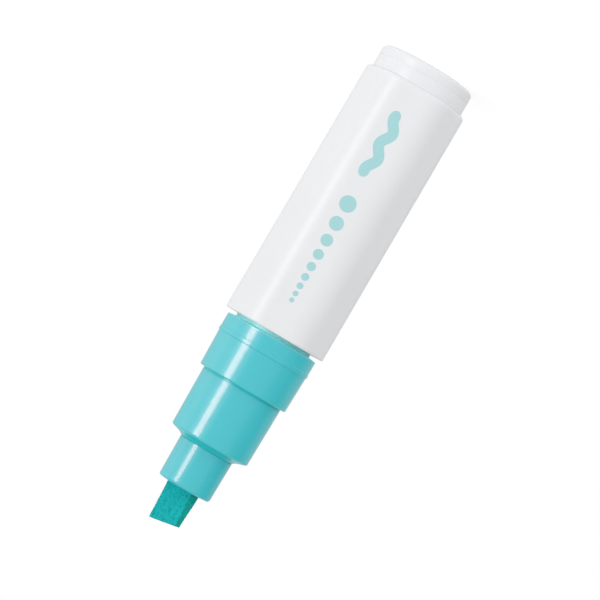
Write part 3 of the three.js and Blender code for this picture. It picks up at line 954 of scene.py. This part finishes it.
# Of each: its name, two colours that it clouds between, its lowest and highest roughness, and the
# level of its gloss, with a tint for one
PLASTICS = {
    "white": ("barrel_plastic", (0.825, 0.835, 0.852), (0.81, 0.82, 0.837), (0.27, 0.31), 0.09),
    # painted shade: greyer than the barrel, for the shade on the shoulder's fillet
    "shoulder": (
        "barrel_plastic_shoulder_shade",
        (0.773, 0.78, 0.795),
        (0.758, 0.765, 0.78),
        (0.5, 0.6),
        0.03,
    ),
    # painted shade: greyer still, for the shade on the tail's rim
    "rim": ("barrel_plastic_rim_shade", (0.745, 0.752, 0.767), (0.73, 0.737, 0.752), (0.5, 0.6), 0.02),
    "turquoise": (
        "front_plastic",
        (0.061, 0.574, 0.638),
        (0.057, 0.564, 0.628),
        (0.165, 0.195),
        0.5,
        (1.0, 0.5, 0.46),
    ),
    # painted shade: a darker turquoise, matt, for the shade in the holder's groove
    "shaded_groove": (
        "front_plastic_groove_shade",
        (0.025, 0.57, 0.595),
        (0.023, 0.56, 0.585),
        (0.6, 0.7),
        0.08,
    ),
    # glossy, in a darker turquoise that is painted shade in the step behind the collar and on the
    # neck's cone
    "polished_step_shade": (
        "front_plastic_steps_shade",
        (0.023, 0.57, 0.595),
        (0.021, 0.56, 0.585),
        (0.2, 0.24),
        0.23,
    ),
    # painted light: a paler turquoise for the light that reaches into the gap behind the collar
    "painted_gap_light": ("front_plastic_gap_light", (0.30, 0.87, 0.89), (0.29, 0.86, 0.88), (0.46, 0.54), 1.0),
    # painted light: paler still, for the light reflected onto the collar's rear lip
    "painted_lip_light": ("front_plastic_lip_light", (0.52, 0.96, 0.98), (0.51, 0.95, 0.97), (0.4, 0.5), 0.6),
    # painted reflection: a paler turquoise for the light that the collar's rear edge reflects
    "painted_edge_light": (
        "front_plastic_edge_light",
        (0.13, 0.62, 0.68),
        (0.12, 0.61, 0.67),
        (0.2, 0.3),
        0.5,
    ),
    "natural": ("valve_plastic", (0.74, 0.75, 0.72), (0.70, 0.71, 0.68), (0.35, 0.5), 0.4),
}
# Of each: two colours that it clouds between, its strands and its flecks
FELTS = {
    "face": ((0.010, 0.52, 0.54), (0.013, 0.61, 0.63), (0.004, 0.32, 0.32), (0.003, 0.15, 0.14)),
    # The narrow sides are darker and greener than the faces: the darkness is painted shade of the
    # side turned from the light.
    "side": ((0.011, 0.45, 0.41), (0.014, 0.53, 0.48), (0.005, 0.26, 0.22), (0.003, 0.12, 0.10)),
}
FIBRES = {
    "face": ((0.010, 0.48, 0.50), (0.014, 0.60, 0.63)),
    # painted shade: the fibres on the narrow sides are darker, as the felt there
    "side": ((0.010, 0.40, 0.36), (0.014, 0.52, 0.47)),
}
SKIN = 0.1  # room round a surface, so that a test takes in the faces that lie on it
EDGE_SKIN = 0.01
SHOULDER_SKIN = 0.05
CONE_SKIN = 0.2
GROOVE_SKIN = 0.3


def recoat_barrel(tube, cap, plastic):
    """A duller finish on the barrel's shoulder and on the tail's rim, whose greyer colour is
    painted shade.
    """
    shoulder = between(SHOULDER - SHOULDER_SKIN, SHOULDER + RIM, STUD_RADIUS - SKIN, CORNER_REACH)
    recoat(tube, plastic["shoulder"], shoulder)
    recoat(cap, plastic["rim"], between(-SKIN, RIM, STUD_RADIUS - PLUG_FILLET, STUD_RADIUS))


def recoat_front(front, mouth, plastic):
    """Paler colours round the gap behind the collar, which are painted light, and darker ones,
    which are painted shade, glossy in the steps and matt in the groove.
    """
    rear, lip_rear = COLLAR_REAR, COLLAR_REAR - LIP_LENGTH
    lip_radius = COLLAR_REAR_RADIUS - COLLAR_REAR_FILLET
    step_front = COLLAR_FRONT + NECK_GROOVE_LENGTH
    cone_inner, cone_outer = HOLDER_RADIUS - CONE_SKIN, NECK_FRONT_RADIUS - NECK_FILLET
    at_edge = between(rear - EDGE_SKIN, rear + EDGE_BAND, SPIGOT_RADIUS, COLLAR_REAR_RADIUS + SKIN)
    in_gap = between(GAP_REAR, lip_rear, SPIGOT_RADIUS - SKIN, SPIGOT_RADIUS + SKIN)
    on_lip = between(lip_rear - EDGE_SKIN, rear, SPIGOT_RADIUS, lip_radius)
    in_step = between(COLLAR_FRONT, step_front, NECK_FRONT_RADIUS - SKIN, NECK_REAR_RADIUS)
    on_cone = between(NECK_CORNER, HOLDER_REAR, cone_inner, cone_outer)
    in_groove = between(HOLDER_SEAT, HOLDER_REAR, HOLDER_RADIUS - GROOVE_SKIN, HOLDER_RADIUS)
    # painted light on the collar's rear edge, in the gap and on the lip
    recoat(front, plastic["painted_edge_light"], at_edge)
    recoat(front, plastic["painted_gap_light"], in_gap)
    recoat(front, plastic["painted_lip_light"], on_lip)
    # painted shade in the step and on the neck's cone
    recoat(front, plastic["polished_step_shade"], lambda point: in_step(point) or on_cone(point))
    # painted shade in the holder's groove
    recoat(mouth, plastic["shaded_groove"], in_groove)


def build_marker():
    plastic = {key: moulded(*values) for key, values in PLASTICS.items()}
    rubber, steel, ink = rubber_material(), steel_material(), ink_material()
    felts = {key: felt("felt_" + key, *colours) for key, colours in FELTS.items()}
    fibres = {key: fibre("fibre_" + key, *colours) for key, colours in FIBRES.items()}
    tube = dress(barrel(), "body", "barrel_plastic", plastic["white"], "barrel")
    cap = dress(tail_plug(), "body", "barrel_plastic", plastic["white"], "tail_plug")
    recoat_barrel(tube, cap, plastic)
    front = dress(front_section(), "body", "front_plastic", plastic["turquoise"], "front_section")
    mouth = dress(nib_holder(), "body", "front_plastic", plastic["turquoise"], "nib_holder")
    recoat_front(front, mouth, plastic)
    tip = dress(nib(), "nib_and_stem", "nib_felt", felts["face"], "nib")
    # painted shade on the nib's narrow sides
    recoat(tip, felts["side"], on_narrow_side)
    loose = dress(nib_fibres(), "nib_and_stem", "nib_felt", fibres["face"])
    recoat(loose, fibres["side"], on_narrow_side)
    for marks in (print_dots(), print_stroke()):
        dress(marks, "body", "front_plastic", ink)
    spring = dress(valve_spring(), "body", "steel", steel, "valve_spring")
    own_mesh(spring)
    for number in ("1", "2"):
        node = "mixing_ball_" + number
        dress(mixing_ball(node), "ball_" + number, "steel", steel, node)
    for node, material in (
        ("valve_body", plastic["natural"]),
        ("valve_cage", plastic["natural"]),
        ("valve_stem", plastic["natural"]),
        ("valve_seat", rubber),
        ("valve_body_seal", rubber),
    ):
        mesh = frame["nodes"][node].data
        mesh.materials.clear()
        mesh.materials.append(material)


# Studio: a white world, a pale floor, two tall strips and a curtain that shows only in gloss

TURN = math.radians(-2)  # of the camera and its studio, about the marker's axis
RIGHT = Vector((math.cos(TURN), math.sin(TURN), 0))
BACK = Vector((math.sin(TURN), -math.cos(TURN), 0))
UP = Vector((0, 0, 1))
VIEW_DISTANCE = 0.756  # in metres, as the heights and the side below
VIEW_HEIGHT = 0.0832
AIM_HEIGHT = 0.0645
AIM_SIDE = 0.00129
LEAN = math.radians(30.328)  # of the marker in the picture
LENS = 186
SENSOR = 36
STUDIO_HEIGHT = 0.051
WORLD_LEVEL = 0.58
WORLD_SIDE = 0.34
WORLD_FRONT = 0.10
WORLD_LOBE = 0.70
FLOOR_RADIUS = 3000  # in millimetres, as the curtain's measures
FLOOR_STEPS = 64
FLOOR_DROP = 0.2
FLOOR_GLOW = 0.64
FLOOR_MATT = 0.5
STRIPS = {  # bearing and width in degrees, height and distance in metres, radiance
    "key_strip": (43.3, 17.5, 0.162, 0.14, 13),
    "soft_strip": (42, 42, 0.162, 0.15, 1.4),
}
CURTAIN_STEP = 3
CURTAIN_DISTANCE = 1400
CURTAIN_HALF_HEIGHT = 740
CURTAIN_GLOW = (  # bearing in degrees, strength
    (-180, 0.75),
    (-145, 0.70),
    (-118, 0.66),
    (-111, 0.48),
    (-100, 0.12),
    (-84, 0.12),
    (-72, 0.28),
    (-60, 0.46),
    (-55, 0.48),
    (-52, 1.0),
    (54, 1.0),
    (58, 2.6),
    (98, 2.6),
    (114, 1.65),
    (148, 0.7),
    (180, 0.75),
)


def camera():
    data = bpy.data.cameras.new("camera")
    data.sensor_width = SENSOR
    data.lens = LENS
    view = bpy.data.objects.new("camera", data)
    bpy.context.scene.collection.objects.link(view)
    place = BACK * VIEW_DISTANCE + UP * VIEW_HEIGHT
    aim = UP * AIM_HEIGHT - RIGHT * AIM_SIDE
    back = (place - aim).normalized()
    top = RIGHT * math.sin(LEAN) - UP * math.cos(LEAN)
    right = top.cross(back).normalized()
    axes = Matrix((right, back.cross(right), back)).transposed()
    view.matrix_world = Matrix.Translation(place) @ axes.to_4x4()
    bpy.context.scene.camera = view


def bearing(degrees):
    """The level direction at an angle from the camera's, positive towards the strips."""
    angle = math.radians(degrees)
    return BACK * math.cos(angle) + RIGHT * math.sin(angle)


def facing(direction, distance):
    """A place at that distance from the axis, turned to face it."""
    place = direction * distance + UP * STUDIO_HEIGHT
    turn = direction.to_track_quat("Z", "Y").to_matrix().to_4x4()
    return Matrix.Translation(place) @ turn


def strip_lamp(name, degrees, wide, tall, distance, radiance):
    """A tall rectangular lamp that shows only in gloss. Its power follows from its radiance."""
    data = bpy.data.lights.new(name, "AREA")
    data.shape = "RECTANGLE"
    data.size = 2 * distance * math.tan(math.radians(wide) / 2)
    data.size_y = tall
    data.energy = radiance * data.size * data.size_y * math.pi
    lamp = bpy.data.objects.new(name, data)
    bpy.context.scene.collection.objects.link(lamp)
    lamp.matrix_world = facing(bearing(degrees), distance)
    lamp.visible_diffuse = False
    lamp.visible_camera = False


def world():
    """White where a camera, gloss or glass looks at it. As light it comes from above the floor
    alone, a little brighter from the strips' side, from in front and from behind."""
    scene = bpy.context.scene
    scene.world = bpy.data.worlds.new("studio")
    scene.world.use_nodes = True
    tree = scene.world.node_tree
    nodes, link = tree.nodes, tree.links.new
    background = nodes["Background"]
    background.inputs["Color"].default_value = (1, 1, 1, 1)

    def maths(operation, *values):
        node = nodes.new("ShaderNodeMath")
        node.operation = operation
        for socket, value in zip(node.inputs, values):
            if isinstance(value, bpy.types.NodeSocket):
                link(value, socket)
            else:
                socket.default_value = value
        return node.outputs[0]

    place = nodes.new("ShaderNodeTexCoord")

    def along(direction):
        node = nodes.new("ShaderNodeVectorMath")
        node.operation = "DOT_PRODUCT"
        node.inputs[1].default_value = direction
        link(place.outputs["Generated"], node.inputs[0])
        return node.outputs["Value"]

    path = nodes.new("ShaderNodeLightPath")
    seen = path.outputs["Is Camera Ray"]
    for kind in ("Is Glossy Ray", "Is Transmission Ray"):
        seen = maths("MAXIMUM", seen, path.outputs[kind])
    # Light = level + a slope to the strips + lobe * square of the share along the view
    square = maths("POWER", maths("ABSOLUTE", along(BACK)), 2)
    slope = along(RIGHT * WORLD_SIDE + BACK * WORLD_FRONT)
    level = maths("ADD", maths("MULTIPLY_ADD", square, WORLD_LOBE, slope), WORLD_LEVEL)
    light = maths("MULTIPLY", level, maths("GREATER_THAN", along(UP), 0))
    strength = nodes.new("ShaderNodeMix")
    strength.inputs[MIX_SECOND].default_value = 1.0
    link(seen, strength.inputs[MIX_SHARE])
    link(light, strength.inputs[MIX_FIRST])
    link(strength.outputs[0], background.inputs["Strength"])


def glowing(name):
    """A material that glows instead of reflecting, with its node tree and its emission shader."""
    material = bpy.data.materials.new(name)
    material.use_nodes = True
    tree = material.node_tree
    tree.nodes.remove(tree.nodes["Principled BSDF"])
    return material, tree, tree.nodes.new("ShaderNodeEmission")


def floor():
    """A pale floor under the tail, mostly bright by itself, which takes a shadow and casts none."""
    edge = ring(FLOOR_RADIUS, 0, even_angles(FLOOR_STEPS))
    plane = make_object("floor", edge, [tuple(range(FLOOR_STEPS))])
    plane.location.z = -FLOOR_DROP * MM
    material, tree, glow = glowing("floor_white")
    glow.inputs["Strength"].default_value = FLOOR_GLOW
    matt = tree.nodes.new("ShaderNodeBsdfDiffuse")
    matt.inputs["Color"].default_value = (FLOOR_MATT, FLOOR_MATT, FLOOR_MATT, 1)
    both = tree.nodes.new("ShaderNodeAddShader")
    tree.links.new(glow.outputs[0], both.inputs[0])
    tree.links.new(matt.outputs[0], both.inputs[1])
    tree.links.new(both.outputs[0], tree.nodes["Material Output"].inputs["Surface"])
    plane.data.materials.append(material)
    plane.visible_glossy = False
    plane.visible_shadow = False


def curtain_glow(degrees):
    for (start, dark), (end, light) in zip(CURTAIN_GLOW, CURTAIN_GLOW[1:]):
        if degrees <= end:
            return dark + (light - dark) * (degrees - start) / (end - start)


def curtain():
    """A curtain that shows only in gloss, bright on the strips' side and dark opposite."""
    points, faces, glows = [], [], []
    for degrees in range(-180, 181, CURTAIN_STEP):
        place = bearing(degrees) * CURTAIN_DISTANCE
        for height in (-CURTAIN_HALF_HEIGHT, CURTAIN_HALF_HEIGHT):
            points.append((place.x, place.y, height))
            glows.append(curtain_glow(degrees))
    for i in range(0, len(points) - 2, 2):
        faces.append((i, i + 1, i + 3, i + 2))
    cloth = make_object("studio_curtain", points, faces)
    cloth.data.attributes.new("glow", "FLOAT", "POINT").data.foreach_set("value", glows)
    material, tree, glow = glowing("curtain_glow")
    share = tree.nodes.new("ShaderNodeAttribute")
    share.attribute_name = "glow"
    tree.links.new(share.outputs["Fac"], glow.inputs["Strength"])
    tree.links.new(glow.outputs[0], tree.nodes["Material Output"].inputs["Surface"])
    material.cycles.emission_sampling = "NONE"
    cloth.data.materials.append(material)
    for ray in ("camera", "diffuse", "transmission", "shadow", "volume_scatter"):
        setattr(cloth, "visible_" + ray, False)


def build_studio():
    camera()
    world()
    floor()
    curtain()
    for name, values in STRIPS.items():
        strip_lamp(name, *values)
    bpy.context.scene.view_settings.view_transform = "Standard"


build_marker()
build_studio()
